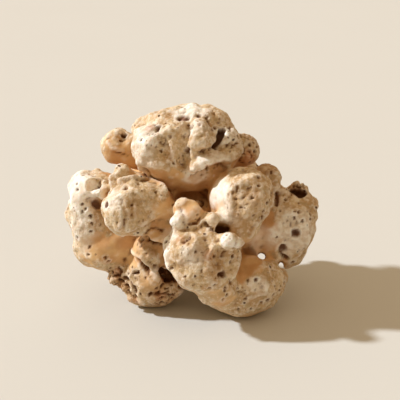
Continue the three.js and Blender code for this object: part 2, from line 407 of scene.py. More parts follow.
RIGHT_MARKS = (
    knob(2.5, 1.9, (13.3, -23.6, 44.4)),
    dish(6.2, 0.9, (19.7, -26.7, 51.8)),
    ridge(
        1.6,
        1.1,
        (31.0, -18.0, 50.0),
        (30.0, -20.5, 46.0),
        (27.0, -23.0, 43.0),
        (23.5, -25.0, 39.0),
        (21.8, -25.0, 36.6),
    ),
    hole(0.9, 1.1, (16.8, -24.5, 55.7)),
    hole(0.8, 1.0, (16.5, -25.3, 54.4)),
    hole(0.9, 1.1, (25.1, -20.2, 58.5)),
    hole(1.0, 0.8, (25.0, -23.2, 56.2)),
    hole(0.9, 1.2, (23.2, -25.9, 45.6)),
    hole(0.8, 1.0, (27.0, -23.8, 46.2)),
    hole(0.8, 1.0, (28.1, -23.3, 49.4)),
    hole(1.0, 1.1, (29.4, -20.6, 45.8)),
    hole(0.8, 0.9, (25.8, -22.2, 42.8)),
    hole(0.9, 0.9, (22.4, -26.4, 52.8)),
    hole(2.1, 2.4, (40.4, -12.8, 32.8)),
    knob(0.8, 0.8, (41.4, -12.4, 33.6)),
    hole(2.0, 1.9, (35.6, -12.3, 26.2)),
    crease(1.5, 1.5, (34.2, -12.4, 24.4), (36.4, -11.8, 22.0)),
    hole(1.9, 1.8, (37.0, -11.3, 21.1)),
    hole(1.0, 1.3, (41.6, -9.3, 40.5)),
    hole(0.8, 0.9, (40.2, -9.6, 40.9)),
    hole(0.9, 1.2, (43.1, -11.1, 37.5)),
    hole(0.8, 0.9, (39.6, -10.8, 38.2)),
    hole(0.9, 1.1, (46.9, -7.7, 39.1)),
    hole(0.8, 1.0, (46.8, -8.4, 37.4)),
    hole(0.8, 1.0, (44.4, -10.5, 25.5)),
    hole(0.9, 1.2, (40.1, -9.1, 18.8)),
    hole(1.7, 2.8, (39.2, 0.8, 46.4), (42.6, 0.6, 44.8), (44.4, 0.2, 44.6)),
    knob(1.5, 1.4, (40.4, 3.4, 48.0)),
    knob(1.3, 1.2, (42.6, 3.2, 48.2)),
    knob(2.0, 1.8, (35.4, -2.6, 46.4), (37.0, -2.6, 45.8)),
    crease(1.5, 2.3, (33.4, -3.4, 46.0), (33.0, -7.4, 42.8)),
    hole(0.9, 1.0, (36.6, -5.6, 44.2)),
    dish(3.6, 0.8, (38.0, -12.6, 37.4)),
    knob(3.4, 0.7, (44.0, -10.4, 29.6)),
    ridge(1.4, 1.0, (28.6, -4.6, 52.6), (30.4, -3.8, 56.4), (33.4, -2.6, 54.6)),
    hole(0.8, 1.0, (31.0, -2.0, 54.4)),
)

LOW_RIGHT_MARKS = (
    crease(1.7, 0.6, (14.4, -33.2, 22.4), (15.9, -32.0, 19.2), (18.0, -30.0, 15.7), (20.7, -27.8, 13.2)),
    ridge(1.4, 0.4, (20.7, -27.5, 12.8), (24.5, -27.0, 13.1), (28.4, -26.0, 14.0)),
    hole(1.0, 1.4, (24.6, -25.2, 19.2)),
    dish(3.0, 0.6, (25.4, -26.1, 17.0)),
    hole(0.8, 1.0, (17.6, -29.4, 17.4)),
    hole(0.8, 1.0, (26.9, -26.4, 9.4)),
    hole(1.0, 1.2, (29.4, -25.4, 10.0)),
    hole(1.0, 1.2, (32.0, -24.4, 11.8)),
    hole(0.8, 1.0, (34.6, -21.6, 12.6)),
    hole(0.9, 1.2, (36.0, -18.2, 14.4)),
    hole(0.8, 1.0, (20.4, -27.6, 12.2)),
    hole(0.8, 1.0, (17.8, -26.6, 6.4)),
    hole(0.8, 1.0, (22.8, -27.0, 6.6)),
    hole(0.8, 1.0, (12.2, -33.6, 14.4)),
    knob(4.0, 0.8, (29.0, -23.0, 14.6)),
)

BACK_MARKS = (
    dish(6.0, 1.8, (4.0, 33.5, 54.0)),
    knob(3.6, 1.6, (-4.0, 29.0, 63.0)),
    hole(1.6, 2.6, (-1.0, 32.5, 57.5)),
    hole(1.2, 1.8, (9.0, 32.0, 50.0)),
    dent(2.8, 1.5, (-8.0, 16.0, 72.0), (-4.0, 22.0, 68.0), (-2.0, 27.0, 64.0)),
    ridge(1.8, 1.5, (16.0, 20.0, 66.0), (12.0, 26.0, 64.5), (5.0, 30.0, 64.0)),
    dish(6.5, 1.6, (-26.0, 33.5, 37.0)),
    knob(2.6, 1.6, (-32.0, 28.0, 42.0)),
    hole(1.5, 2.4, (-19.0, 34.0, 36.0)),
    hole(1.1, 1.6, (-28.0, 33.0, 30.0)),
    ridge(1.7, 1.4, (-33.0, 26.0, 46.0), (-28.0, 30.0, 49.0), (-19.0, 31.0, 49.0)),
    dent(2.8, 1.2, (-34.0, 20.0, 32.0), (-29.0, 26.0, 30.0), (-22.0, 31.0, 29.0)),
    dish(7.0, 1.8, (19.0, 37.0, 33.0)),
    knob(3.0, 1.6, (13.0, 34.0, 41.0)),
    hole(1.5, 2.4, (24.0, 36.0, 36.0)),
    hole(1.1, 1.6, (15.0, 37.5, 27.0)),
    hole(1.0, 1.4, (30.0, 30.0, 34.0)),
    ridge(1.7, 1.4, (31.0, 28.0, 40.0), (25.0, 34.0, 42.0), (14.0, 34.5, 44.0)),
    dent(2.8, 1.2, (8.0, 33.0, 36.0), (7.0, 34.0, 28.0), (10.0, 34.0, 22.0)),
    dish(6.0, 1.4, (-2.0, 37.0, 15.0)),
    hole(1.4, 2.2, (4.0, 36.5, 19.0)),
    hole(1.1, 1.6, (-9.0, 37.0, 18.0)),
    knob(2.4, 1.4, (7.0, 35.0, 10.0)),
    dish(5.0, 1.4, (49.0, 4.0, 32.0)),
    hole(1.4, 2.0, (48.0, 8.0, 38.0)),
    hole(1.2, 1.8, (44.0, 12.0, 28.0)),
    ridge(1.7, 1.3, (46.0, 10.0, 42.0), (48.5, 4.0, 41.0), (48.5, -4.0, 40.0)),
    dish(5.0, 1.4, (-49.0, 3.0, 36.0)),
    hole(1.3, 1.8, (-48.0, 6.0, 42.0)),
    hole(1.1, 1.6, (-47.0, 6.0, 28.0)),
    dent(2.8, 1.0, (-46.0, 10.0, 44.0), (-48.0, 6.0, 38.0), (-47.5, 8.0, 30.0)),
    knob(2.6, 1.4, (-38.0, 9.0, 53.0)),
    dish(4.4, 1.4, (-29.0, 18.5, 63.0)),
    hole(1.2, 1.8, (-31.0, 18.0, 60.0)),
    dish(4.6, 1.4, (36.0, -6.0, 8.0)),
)

MARKS = (
    *CROWN_MARKS,
    *LEFT_EAR_MARKS,
    *LEFT_MARKS,
    *BASE_MARKS,
    *FRONT_MARKS,
    *RIGHT_MARKS,
    *LOW_RIGHT_MARKS,
    *BACK_MARKS,
)


class Trait(Enum):
    """What the skin is like at a point, from 0 to 1. The finish reads all but joined; from hollow and shade
    it paints shade, and from edge a highlight.
    """

    ROUGH = "rough"
    PALE = "pale"
    SOIL = "soil"
    PORES = "pores"
    RUST = "rust"
    JOINED = "joined"
    HOLLOW = "hollow"
    EDGE = "edge"
    SHADE = "shade"


@dataclass(frozen=True)
class Patch:
    """A soft round area where the skin has more, or less, of a trait."""

    radius: float
    amount: float
    place: Place


PATCHES: dict[Trait, tuple[Patch, ...]] = {
    Trait.PORES: (
        Patch(6.0, 0.55, (16.0, -5.0, 69.0)),
        Patch(6.0, 0.7, (24.0, 8.0, 66.0)),
        Patch(4.5, 1.0, (42.0, 2.6, 48.4)),
        Patch(4.0, 0.7, (-9.4, -15.6, 16.6)),
        Patch(5.0, 0.8, (-29.0, -12.0, 14.0)),
        Patch(3.0, 0.5, (-22.0, -17.0, 10.0)),
        Patch(3.0, 0.5, (-20.0, -16.0, 30.6)),
        Patch(3.5, 0.6, (-12.0, -18.0, 8.6)),
        Patch(5.0, 0.5, (7.0, -12.0, 59.0)),
        Patch(9.0, 0.25, (19.0, -26.0, 51.0)),
        Patch(9.0, 0.3, (4.0, -10.0, 73.0)),
        Patch(8.0, 0.2, (-11.0, -8.0, 72.0)),
        Patch(7.0, 0.5, (-5.0, 30.0, 62.0)),
        Patch(7.0, 0.6, (24.0, 34.0, 38.0)),
        Patch(6.0, 0.5, (-28.0, 32.0, 40.0)),
    ),
    Trait.PALE: (
        Patch(5.0, 0.6, (14.0, -6.0, 70.0)),
        Patch(10.0, 1.0, (-45.0, -4.0, 49.0)),
        Patch(6.0, 0.6, (-29.0, -22.0, 50.0)),
        Patch(7.0, 0.5, (-18.0, -11.0, 66.0)),
        Patch(5.0, 0.8, (-41.0, -9.0, 41.0)),
        Patch(8.0, 0.5, (-44.0, -8.0, 32.0)),
        Patch(7.0, 0.6, (-18.0, -6.0, 71.0)),
        Patch(7.0, 0.9, (-1.0, -2.0, 79.0)),
        Patch(5.0, 0.9, (-5.0, -27.0, 44.0)),
        Patch(6.0, 1.0, (-8.4, -25.0, 37.0)),
        Patch(5.0, 1.0, (-8.6, -29.0, 31.0)),
        Patch(5.5, 0.8, (1.0, -36.0, 33.6)),
        Patch(7.0, 1.0, (10.0, -20.0, 53.0)),
        Patch(4.0, 0.9, (13.3, -24.6, 44.6)),
        Patch(4.0, 0.9, (13.2, -35.0, 40.0)),
        Patch(4.0, 0.7, (25.4, -26.1, 17.0)),
        Patch(10.0, 0.7, (40.0, -12.0, 33.0)),
        Patch(6.0, 0.5, (2.0, -12.6, 57.0)),
        Patch(7.0, 0.4, (29.0, -12.0, 30.0)),
        Patch(5.0, 0.5, (2.0, -12.0, 75.0)),
        Patch(3.0, 0.8, (-14.0, -19.0, 19.0)),
        Patch(3.5, 0.9, (4.4, -14.6, 62.6)),
        Patch(3.5, 0.7, (10.4, -12.6, 63.8)),
        Patch(3.0, 0.3, (-36.9, -8.9, 48.2)),
        Patch(6.0, 0.6, (8.0, 32.0, 60.0)),
        Patch(7.0, 0.6, (-24.0, 32.0, 46.0)),
        Patch(7.0, 0.6, (20.0, 36.0, 40.0)),
    ),
    Trait.SOIL: (
        Patch(7.0, 0.9, (-30.0, -10.0, 12.0)),
        Patch(6.0, 0.6, (-24.0, -15.0, 8.0)),
        Patch(5.0, 0.8, (-8.6, -15.6, 16.0)),
        Patch(7.0, 0.8, (-10.0, -17.0, 7.0)),
        Patch(8.0, 0.3, (-17.0, -19.0, 15.0)),
        Patch(7.0, 0.33, (-1.0, -33.0, 35.0)),
        Patch(8.0, 0.35, (9.0, -34.0, 29.0)),
        Patch(9.0, 0.34, (21.0, -26.0, 48.0)),
        Patch(6.0, 0.25, (-19.0, -26.0, 46.0)),
        Patch(6.0, 0.5, (-18.0, -17.0, 30.0)),
        Patch(4.5, 0.6, (22.0, 3.0, 59.0)),
        Patch(5.0, 0.5, (24.0, 8.0, 68.0)),
        Patch(3.5, 0.8, (41.0, 1.4, 46.6)),
        Patch(4.0, 0.5, (30.0, 1.0, 56.0)),
        Patch(12.0, 0.8, (-4.0, 26.0, 6.0)),
        Patch(8.0, 0.5, (22.0, 30.0, 22.0)),
        Patch(8.0, 0.5, (-26.0, 26.0, 24.0)),
    ),
    Trait.RUST: (
        Patch(2.2, 0.7, (4.0, -14.0, 69.8)),
        Patch(2.0, 1.0, (-3.2, -5.4, 77.4)),
        Patch(2.0, 0.8, (-15.8, -6.6, 73.4)),
        Patch(3.0, 1.0, (22.4, 3.2, 58.8)),
        Patch(2.6, 0.6, (6.6, -35.6, 33.6)),
        Patch(2.4, 0.9, (-29.4, -12.4, 16.4)),
        Patch(2.8, 0.8, (-5.4, -14.0, 14.4)),
        Patch(2.6, 0.9, (-12.6, -18.4, 8.6)),
        Patch(2.4, 0.6, (-22.0, -16.0, 5.6)),
        Patch(2.4, 0.5, (-3.6, -31.0, 37.6)),
    ),
    # Places where the finish paints the dark of deep pits and crevices: painted shade.
    Trait.HOLLOW: (
        Patch(2.3, 1.0, (-36.8, -5.2, 42.2)),
        Patch(1.7, 0.8, (-1.0, -8.4, 74.6)),
        Patch(1.5, 0.8, (-2.0, -11.6, 65.6)),
        Patch(1.5, 0.9, (-12.4, -6.6, 73.6)),
        Patch(1.6, 1.0, (-26.9, 6.6, 66.8)),
        Patch(2.0, 1.0, (40.4, -11.6, 32.8)),
        Patch(1.8, 0.6, (35.6, -11.0, 26.2)),
        Patch(1.5, 0.8, (11.4, -34.8, 25.8)),
        Patch(1.6, 1.0, (11.6, -4.4, 71.6)),
        Patch(1.6, 1.0, (10.0, -6.4, 68.4)),
        Patch(1.6, 1.0, (-31.4, -22.5, 48.3)),
        Patch(4.0, 1.0, (-9.6, -14.6, 16.4)),
        Patch(2.6, 0.8, (-6.4, -14.0, 14.4)),
        Patch(3.0, 1.0, (41.5, 0.6, 45.4)),
        Patch(3.6, 1.0, (10.6, -20.6, 38.0)),
        Patch(2.4, 0.8, (-14.0, -17.0, 32.0)),
        Patch(3.0, 0.7, (23.0, -13.6, 25.2)),
        Patch(3.4, 0.8, (-7.0, -13.0, 48.0)),
        Patch(3.4, 0.8, (5.4, -6.6, 47.0)),
    ),
    Trait.JOINED: (
        Patch(10.0, 1.0, (4.0, -35.0, 28.0)),
        Patch(9.0, 1.0, (11.0, -31.0, 16.0)),
        Patch(4.5, 1.0, (-5.0, -24.0, 39.0)),
        Patch(9.0, 1.0, (20.0, -25.0, 45.0)),
        Patch(9.0, 1.0, (42.0, -10.0, 27.0)),
        Patch(8.0, 1.0, (-43.0, -8.0, 41.0)),
        Patch(10.0, 1.0, (-42.0, -9.0, 31.0)),
        Patch(7.0, 1.0, (-20.0, -20.0, 50.0)),
        Patch(9.0, 0.7, (4.0, -11.0, 60.0)),
        Patch(8.0, 0.8, (-22.0, -13.0, 10.0)),
    ),
    Trait.ROUGH: (
        Patch(9.0, -0.9, (-30.0, 6.0, 57.0)),
        Patch(11.0, -0.9, (-27.0, -12.0, 26.0)),
        Patch(7.0, -0.8, (-43.0, -7.0, 49.0)),
        Patch(9.0, -0.7, (-38.0, -10.0, 26.0)),
        Patch(8.0, -1.0, (28.0, -10.0, 32.0)),
        Patch(8.0, -1.0, (20.0, -20.0, 22.0)),
        Patch(9.0, -1.0, (5.0, -11.0, 55.0)),
        Patch(9.0, -1.0, (-8.0, -8.0, 51.0)),
        Patch(6.0, -0.9, (-12.0, -20.0, 45.0)),
        Patch(7.0, -0.3, (-11.0, -13.5, 62.0)),
        Patch(6.0, -0.8, (0.0, -25.0, 46.0)),
        Patch(6.0, -1.0, (-12.6, -18.6, 34.6)),
        Patch(8.0, -0.6, (12.0, -32.0, 16.0)),
        Patch(7.0, -0.8, (9.0, -19.0, 52.0)),
        Patch(7.0, -0.5, (21.0, -25.0, 39.0)),
        Patch(6.0, -0.6, (-16.0, -19.0, 15.0)),
    ),
}


# Each octave of a relief is this many times finer than the one before, and its height falls at this rate.
GAP = 2.1
FALL = 1.0


@dataclass(frozen=True)
class Relief:
    """Swells or wrinkles from noise, of one size and height, in hundredths of the width."""

    size: float
    height: float
    octaves: int
    shift: float

    def over(self, points: np.ndarray) -> np.ndarray:
        """The relief's height at each point.

        Args:
            points: Places, one a row.

        Returns:
            Heights, positive outwards.
        """
        spots = (points / self.size + self.shift).tolist()
        values = [noise.fractal(spot, FALL, GAP, self.octaves, noise_basis="PERLIN_NEW") for spot in spots]
        return self.height * np.array(values)


class Surface:
    """A closed mesh as arrays of its points, with the tools that work it.

    Its unit is a hundredth of the width.
    """

    def __init__(self, piece: bpy.types.Object) -> None:
        """Takes the points of a piece's mesh.

        Args:
            piece: The object whose mesh is worked.
        """
        self.piece = piece
        self.read()

    def read(self) -> None:
        """Reads points, normals and edges from the mesh."""
        mesh = self.piece.data
        count = len(mesh.vertices)
        flat = np.empty(count * 3, np.float32)
        mesh.vertices.foreach_get("co", flat)
        self.points = flat.reshape(-1, 3).astype(float)
        normals = np.empty(count * 3, np.float32)
        mesh.vertices.foreach_get("normal", normals)
        self.normals = normals.reshape(-1, 3).astype(float)
        ends = np.empty(len(mesh.edges) * 2, np.int32)
        mesh.edges.foreach_get("vertices", ends)
        self.edges = ends.reshape(-1, 2)
        self.neighbours = np.bincount(self.edges.ravel(), minlength=count)

    def write(self) -> None:
        """Writes the points back to the mesh, and reads its new normals."""
        mesh = self.piece.data
        mesh.vertices.foreach_set("co", self.points.astype(np.float32).ravel())
        mesh.update()
        self.read()

    def average(self, values: np.ndarray) -> np.ndarray:
        """The mean over each point's neighbours.

        Args:
            values: One number or one row for each point.

        Returns:
            The means, in the same form.
        """
        columns = values.reshape(len(values), -1)
        first, second = self.edges.T
        means = np.empty_like(columns)
        for i in range(columns.shape[1]):
            column = columns[:, i]
            total = np.bincount(first, column[second], len(column))
            total += np.bincount(second, column[first], len(column))
            means[:, i] = total / np.maximum(self.neighbours, 1)
        return means.reshape(values.shape)

    def soften(self, values: np.ndarray, times: int) -> np.ndarray:
        """Values smoothed along the surface, a number of times."""
        for _ in range(times):
            values = 0.5 * values + 0.5 * self.average(values)
        return values

    def smooth(self, times: int, keep_creases: float) -> None:
        """Evens out the points, less in the creases between lobes.

        Args:
            times: How often each point moves half way to the mean of its neighbours.
            keep_creases: The height of a point below its neighbours that stops half the smoothing.
        """
        for _ in range(times):
            step = self.average(self.points) - self.points
            sunk = np.maximum((step * self.normals).sum(1), 0.0)
            share = 0.5 / (1.0 + sunk / keep_creases)
            self.points += step * share[:, None]
        self.write()

    def bulge(self) -> np.ndarray:
        """How far each point stands out over its neighbours, negative in hollows."""
        return ((self.points - self.average(self.points)) * self.normals).sum(1)

    def remesh(self, voxel: float) -> None:
        """Covers the shape with even, square faces.

        Args:
            voxel: The side of a face.
        """
        modifier = self.piece.modifiers.new("even faces", "REMESH")
        modifier.mode = "VOXEL"
        modifier.voxel_size = voxel
        modifier.use_smooth_shade = True
        evaluated = self.piece.evaluated_get(bpy.context.evaluated_depsgraph_get())
        old = self.piece.data
        self.piece.data = bpy.data.meshes.new_from_object(evaluated)
        self.piece.modifiers.clear()
        bpy.data.meshes.remove(old)
        self.drop_specks()
        self.read()

    def drop_specks(self) -> None:
        """Deletes all but the largest connected part: the remesh can pinch off a speck in a narrow gap."""
        shape = bmesh.new()
        shape.from_mesh(self.piece.data)
        seen = set()
        parts = []
        for start in shape.verts:
            if start in seen:
                continue
            seen.add(start)
            part = [start]
            for vert in part:
                joined = {edge.other_vert(vert) for edge in vert.link_edges} - seen
                seen |= joined
                part += joined
            parts.append(part)
        parts.sort(key=len)
        specks = [vert for part in parts[:-1] for vert in part]
        if specks:
            log.info("dropped %d loose points in %d specks", len(specks), len(parts) - 1)
            bmesh.ops.delete(shape, geom=specks, context="VERTS")
            shape.to_mesh(self.piece.data)
        shape.free()

    def area(self) -> float:
        """The area of the whole surface."""
        return sum(face.area for face in self.piece.data.polygons)

    def tree(self) -> BVHTree:
        """A search tree over the faces as they are now."""
        faces = [tuple(face.vertices) for face in self.piece.data.polygons]
        return BVHTree.FromPolygons(self.points.tolist(), faces)


@dataclass(frozen=True)
class Track:
    """A mark's path laid on the surface: places with the surface's direction at each."""

    places: np.ndarray
    directions: np.ndarray

    def nearest(self, points: np.ndarray) -> tuple[np.ndarray, np.ndarray]:
        """The distance from each point to the track, and the surface's direction there.

        Args:
            points: Places, one a row.

        Returns:
            The distances, and the directions one a row.
        """
        distance = np.linalg.norm(points - self.places[0], axis=1)
        direction = np.broadcast_to(self.directions[0], points.shape).copy()
        for i in range(len(self.places) - 1):
            start, along = self.places[i], self.places[i + 1] - self.places[i]
            share = np.clip((points - start) @ along / max(along @ along, 1e-9), 0.0, 1.0)[:, None]
            gap = np.linalg.norm(points - start - share * along, axis=1)
            closer = gap < distance
            turned = self.directions[i] * (1.0 - share) + self.directions[i + 1] * share
            distance = np.where(closer, gap, distance)
            direction = np.where(closer[:, None], turned, direction)
        return distance, direction


@dataclass
class Mushroom:
    """The mushroom's skin. Its sizes are in hundredths of the width."""

    first_voxel: float = 0.9
    face_budget: int = 97000
    # The remesh gives this many faces for each square of skin with a voxel's side.
    faces_a_square: float = 1.48
    same_point: float = 1e-3
    even_times: int = 8
    crease_depth: float = 0.12
    join_times: int = 30
    large_mark: float = 2.5
    path_step: float = 1.5
    view_rays: int = 14
    view_reach: float = 26.0
    ray_lift: float = 0.3
    # A little over 1, so that no ray starts into the skin.
    ray_lean: float = 1.02
    hole_wobble: float = 0.3
    mark_wobble: float = 0.2
    pit_count: int = 110
    pit_spacing: float = 2.6
    pit_tries: int = 4
    pit_radius: float = 0.6
    pore_size: float = 2.3
    pore_shift: float = 20.0
    pore_depth: float = 1.4
    wrinkle_height: float = 0.28
    seed: int = 20
    ragged: Relief = Relief(5.0, 0.45, 3, 7.0)
    patchy: Relief = Relief(7.0, 0.3, 3, 3.0)
    large_wobble: Relief = Relief(3.5, 1.0, 2, 11.0)
    small_wobble: Relief = Relief(1.6, 1.0, 2, 11.0)
    swells: Relief = Relief(10.0, 1.3, 2, 0.0)
    lumps: Relief = Relief(4.6, 0.75, 2, 5.0)
    wrinkles: Relief = Relief(3.0, 1.0, 2, 2.0)
    grit: Relief = Relief(1.7, 0.25, 2, 4.0)
    crumbs: Relief = Relief(2.2, 1.5, 3, 9.0)
    gathered: Relief = Relief(5.0, 1.0, 2, 31.0)
    clusters: Relief = Relief(9.0, 1.0, 2, 13.0)

    def build(self) -> bpy.types.Object:
        """Makes the skin.

        Returns:
            The finished piece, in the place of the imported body.
        """
        low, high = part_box(NODE)
        self.unit = (high.x - low.x) / 100.0
        self.random = np.random.default_rng(self.seed)
        self.surface = Surface(self.copy_of_body())
        self.surface.remesh(self.first_voxel)
        self.surface.smooth(self.even_times, self.crease_depth)
        self.join_lobes()
        log.info("evened out: %d points", len(self.surface.points))
        self.measure_openness()
        self.work_large_shapes()
        face_area = self.faces_a_square * self.surface.area() / self.face_budget
        self.surface.remesh(math.sqrt(face_area))
        log.info("fine skin: %d faces", len(self.surface.piece.data.polygons))
        self.work_small_shapes()
        self.store_traits()
        return self.finish_piece()

    def copy_of_body(self) -> bpy.types.Object:
        """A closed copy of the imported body, with its unit changed to a hundredth of the width."""
        mesh = bpy.data.meshes.new("mushroom_skin")
        body = bmesh.new()
        body.from_mesh(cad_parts[NODE].data)
        bmesh.ops.remove_doubles(body, verts=body.verts, dist=self.unit * self.same_point)
        bmesh.ops.recalc_face_normals(body, faces=body.faces)
        bmesh.ops.scale(body, vec=(1.0 / self.unit,) * 3, verts=body.verts)
        body.to_mesh(mesh)
        body.free()
        piece = bpy.data.objects.new("mushroom_skin", mesh)
        bpy.context.scene.collection.objects.link(piece)
        return piece

    def join_lobes(self) -> None:
        """Smooths away the creases between lobes that have grown together."""
        surface = self.surface
        share = np.clip(self.trait(Trait.JOINED), 0.0, 1.0)[:, None]
        for _ in range(self.join_times):
            surface.points += 0.5 * share * (surface.average(surface.points) - surface.points)
        surface.write()

    def measure_openness(self) -> None:
        """Finds how much open air each part of the skin faces, and keeps it for the later, finer skin."""
        surface = self.surface
        tree = surface.tree()
        count = len(surface.points)
        starts = surface.points + surface.normals * self.ray_lift
        escaped = np.zeros(count)
        for _ in range(self.view_rays):
            ball = self.random.normal(size=(count, 3))
            ball /= np.linalg.norm(ball, axis=1)[:, None]
            rays = ball + surface.normals * self.ray_lean
            rays /= np.linalg.norm(rays, axis=1)[:, None]
            pairs = zip(starts.tolist(), rays.tolist())
            escaped += [tree.ray_cast(start, ray, self.view_reach)[2] is None for start, ray in pairs]
        self.open_share = surface.soften(escaped / self.view_rays, 6)
        self.open_tree = KDTree(count)
        for i, point in enumerate(surface.points.tolist()):
            self.open_tree.insert(point, i)
        self.open_tree.balance()

    def openness(self) -> np.ndarray:
        """The open share at each point of the skin as it is now."""
        nearest = [self.open_tree.find(point)[1] for point in self.surface.points.tolist()]
        return self.surface.soften(self.open_share[nearest], 2)

    def trait(self, trait: Trait) -> np.ndarray:
        """How much of a trait the patches give each point.

        Args:
            trait: The trait to read.

        Returns:
            The sum of the patches, with ragged edges.
        """
        points = self.surface.points
        ragged = replace(self.ragged, shift=self.ragged.shift + len(trait.value)).over(points)
        total = np.zeros(len(points))
        for patch in PATCHES[trait]:
            distance = np.linalg.norm(points - np.array(patch.place), axis=1) / patch.radius
            total += patch.amount * smooth_step(1.15, 0.55, distance + ragged)
        return total

    def roughness(self) -> np.ndarray:
        """How rough each point is: most where it faces open air, least on necks and undersides."""
        facing = smooth_step(0.42, 0.72, self.openness())
        under = smooth_step(-0.35, -0.75, self.surface.normals[:, 2])
        patchy = self.patchy.over(self.surface.points)
        return np.clip(facing * (1.0 - 0.5 * under) + patchy + self.trait(Trait.ROUGH), 0.0, 1.0)

    def track(self, path: tuple[Place, ...], tree: BVHTree) -> Track:
        """Lays a path on the surface.

        Args:
            path: Places near the surface.
            tree: A search tree over the surface.

        Returns:
            The path in short steps that follow the surface.
        """
        stops = [Vector(path[0])]
        for start, end in zip(path, path[1:]):
            steps = max(1, round((Vector(end) - Vector(start)).length / self.path_step))
            stops += [Vector(start).lerp(Vector(end), (i + 1) / steps) for i in range(steps)]
        found = [tree.find_nearest(stop) for stop in stops]
        return Track(np.array([f[0] for f in found]), np.array([f[1] for f in found]))

    def press(self, marks: list[Mark]) -> np.ndarray:
        """Moves the skin by a set of marks.

        Args:
            marks: The marks, each laid on the skin as it is when the call starts.

        Returns:
            How deep each point was sunk by holes and creases.
        """
        surface = self.surface
        tree = surface.tree()
        directions = surface.soften(surface.normals, 4)
        directions /= np.linalg.norm(directions, axis=1)[:, None]
        moved = np.zeros(len(surface.points))
        sunk = np.zeros(len(surface.points))
        for mark in marks:
            track = self.track(mark.path, tree)
            distance, facing = track.nearest(surface.points)
            wobble = self.hole_wobble if mark.shape is Shape.HOLE else self.mark_wobble
            radius = mark.radius * (1.0 + wobble * self.wobble)
            amount = mark.height * mark.shape.profile(distance / radius)
            amount *= smooth_step(-0.1, 0.5, (directions * facing).sum(1))
            moved += amount
            if mark.shape in (Shape.HOLE, Shape.CREASE):
                sunk += np.maximum(-amount, 0.0)
        surface.points += directions * moved[:, None]
        return sunk

    def settle(self) -> None:
        """Keeps the skin above the surface that the mushroom rests on, and writes it to the mesh."""
        heights = self.surface.points[:, 2]
        np.maximum(heights, 0.0, out=heights)
        self.surface.write()

    def above_rest(self) -> np.ndarray:
        """0 where the skin rests, rising to 1 a little higher, so that no relief lifts it off the ground."""
        return smooth_step(0.3, 2.5, self.surface.points[:, 2])

    def work_large_shapes(self) -> None:
        """Presses the large marks and the broad swells."""
        surface = self.surface
        self.wobble = self.large_wobble.over(surface.points)
        rough = self.roughness()
        self.press([mark for mark in MARKS if mark.radius >= self.large_mark])
        lumps = self.lumps.over(surface.points) * (0.35 + 0.65 * rough)
        height = self.swells.over(surface.points) + lumps
        height *= self.above_rest() * smooth_step(0.08, 0.4, self.openness())
        surface.points += surface.normals * height[:, None]
        self.settle()

    def work_small_shapes(self) -> None:
        """Presses the small marks and the pits, and adds wrinkles and pores."""
        surface = self.surface
        self.wobble = self.small_wobble.over(surface.points)
        self.rough = self.roughness()
        plain = (Trait.PORES, Trait.SOIL, Trait.PALE, Trait.RUST)
        self.traits = {trait: np.clip(self.trait(trait), 0.0, 1.0) for trait in plain}
        pores = self.traits[Trait.PORES]
        soil = self.traits[Trait.SOIL]
        small = [mark for mark in MARKS if mark.radius < self.large_mark]
        self.sunk = self.press(small + self.scattered_pits())
        wrinkles = np.abs(self.wrinkles.over(surface.points)) - 0.25
        grit = self.grit.over(surface.points)
        crumbly = np.maximum(pores, smooth_step(0.35, 0.9, soil))
        height = (self.wrinkle_height * wrinkles + grit) * self.rough
        height += self.crumbs.over(surface.points) * crumbly
        height += self.press_pores() * pores * (1.0 - 0.7 * soil)
        surface.points += surface.normals * (height * self.above_rest())[:, None]
        self.settle()

    def press_pores(self) -> np.ndarray:
        """How far close-set pores would move each point, if the whole skin had them."""
        spots = (self.surface.points / self.pore_size + self.pore_shift).tolist()
        nearest = np.array([noise.voronoi(spot)[0][0] for spot in spots])
        gathered = smooth_step(-0.2, 0.2, self.gathered.over(self.surface.points))
        moved = -self.pore_depth * smooth_step(0.42, 0.18, nearest + 0.06 * self.wobble) * gathered
        self.sunk -= moved * self.traits[Trait.PORES]
        return moved

    def scattered_pits(self) -> list[Mark]:
        """Small pits at random places, closest together where the skin is rough and porous."""
        surface = self.surface
        cluster = smooth_step(-0.25, 0.35, self.clusters.over(surface.points))
        weights = (0.04 + self.rough**2 + 0.8 * self.traits[Trait.PORES]) * (0.15 + cluster)
        shares = weights / weights.sum()
        order = self.random.choice(len(shares), self.pit_count * self.pit_tries, replace=False, p=shares)
        chosen: list[np.ndarray] = []
        for place in surface.points[order]:
            if all(np.linalg.norm(place - other) > self.pit_spacing for other in chosen):
                chosen.append(place)
            if len(chosen) == self.pit_count:
                break
        pits = []
        for place in chosen:
            radius = self.pit_radius + 0.5 * self.random.random() ** 3
            depth = radius * (0.6 + 0.6 * self.random.random())
            pits.append(hole(radius, depth, tuple(place)))
        return pits

    def store_traits(self) -> None:
        """Writes what the finish reads to the mesh, one attribute for each trait."""
        surface = self.surface
        bulge = surface.soften(surface.bulge(), 1)
        # Where the finish paints shade: sunk and concave points, and the hollow patches.
        hollow = smooth_step(0.3, 1.6, self.sunk) + smooth_step(-0.03, -0.12, bulge)
        values = self.traits | {
            Trait.ROUGH: surface.soften(self.rough, 1),
            Trait.HOLLOW: np.clip(hollow + self.trait(Trait.HOLLOW), 0.0, 1.0),
            # Where the finish paints a highlight: the bulging rims.
            Trait.EDGE: smooth_step(0.01, 0.08, bulge),
            # Where the finish paints shade into the crevices: the least open parts of the skin.
            Trait.SHADE: 1.0 - self.openness(),
        }
        for trait, numbers in values.items():
            attribute = surface.piece.data.attributes.new(trait.value, "FLOAT", "POINT")
            attribute.data.foreach_set("value", numbers.astype(np.float32))

    def finish_piece(self) -> bpy.types.Object:
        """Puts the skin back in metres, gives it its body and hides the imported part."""
        piece = self.surface.piece
        piece.data.transform(Matrix.Scale(self.unit, 4))
        piece.data.shade_smooth()
        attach(piece, BODY)
        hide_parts(NODE)
        return piece


